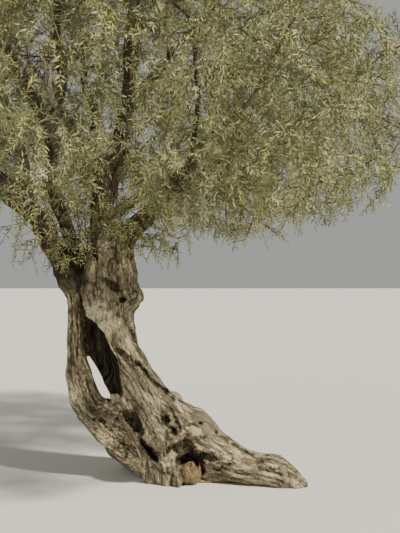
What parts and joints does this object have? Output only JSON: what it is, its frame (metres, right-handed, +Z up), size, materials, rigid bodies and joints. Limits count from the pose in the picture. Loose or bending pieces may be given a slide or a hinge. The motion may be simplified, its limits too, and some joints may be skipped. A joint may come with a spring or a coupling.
{
  "type": "olive tree",
  "caption": "Old olive tree with a leaning, hollowed, forked trunk, crooked boughs and separate masses of narrow-leaved foliage, cut flat at ground level.",
  "frame": {"origin": "on the flat cut under the trunk, at ground level, beneath the middle of its foot", "axes": "+Z up along the plumb line, +X to the right when the hollowed side of the trunk faces the viewer, away from the lean of the trunk, +Y away from that viewer"},
  "size_m": [4.3873, 4.314, 5.0695],
  "materials": {
    "bark": "deeply furrowed, twisted grey-brown bark with pale worn ridges and dark hollows, matte",
    "limb_bark": "grey-brown bark of younger limbs and twigs, finely cracked, matte",
    "foliage": "narrow grey-green leaves, silvery beneath, slightly glossy"
  },
  "bodies": {
    "root": {"trunk": "bark", "back_bough": "bark", "centre_bough": "bark", "inner_left_bough": "bark", "left_bough": "bark", "right_bough": "bark", "front_limb": "limb_bark", "high_back_limb": "limb_bark", "high_front_limb": "limb_bark", "high_right_limb": "limb_bark", "left_back_limb": "limb_bark", "right_back_limb": "limb_bark", "right_front_limb": "limb_bark", "top_left_limb": "limb_bark", "foliage_back": "foliage", "foliage_front": "foliage", "foliage_high_back": "foliage", "foliage_high_front": "foliage", "foliage_high_left": "foliage", "foliage_high_right": "foliage", "foliage_left": "foliage", "foliage_left_back": "foliage", "foliage_right": "foliage", "foliage_right_back": "foliage", "foliage_right_front": "foliage", "foliage_top_left": "foliage", "foliage_top_right": "foliage"}
  },
  "joints": []
}
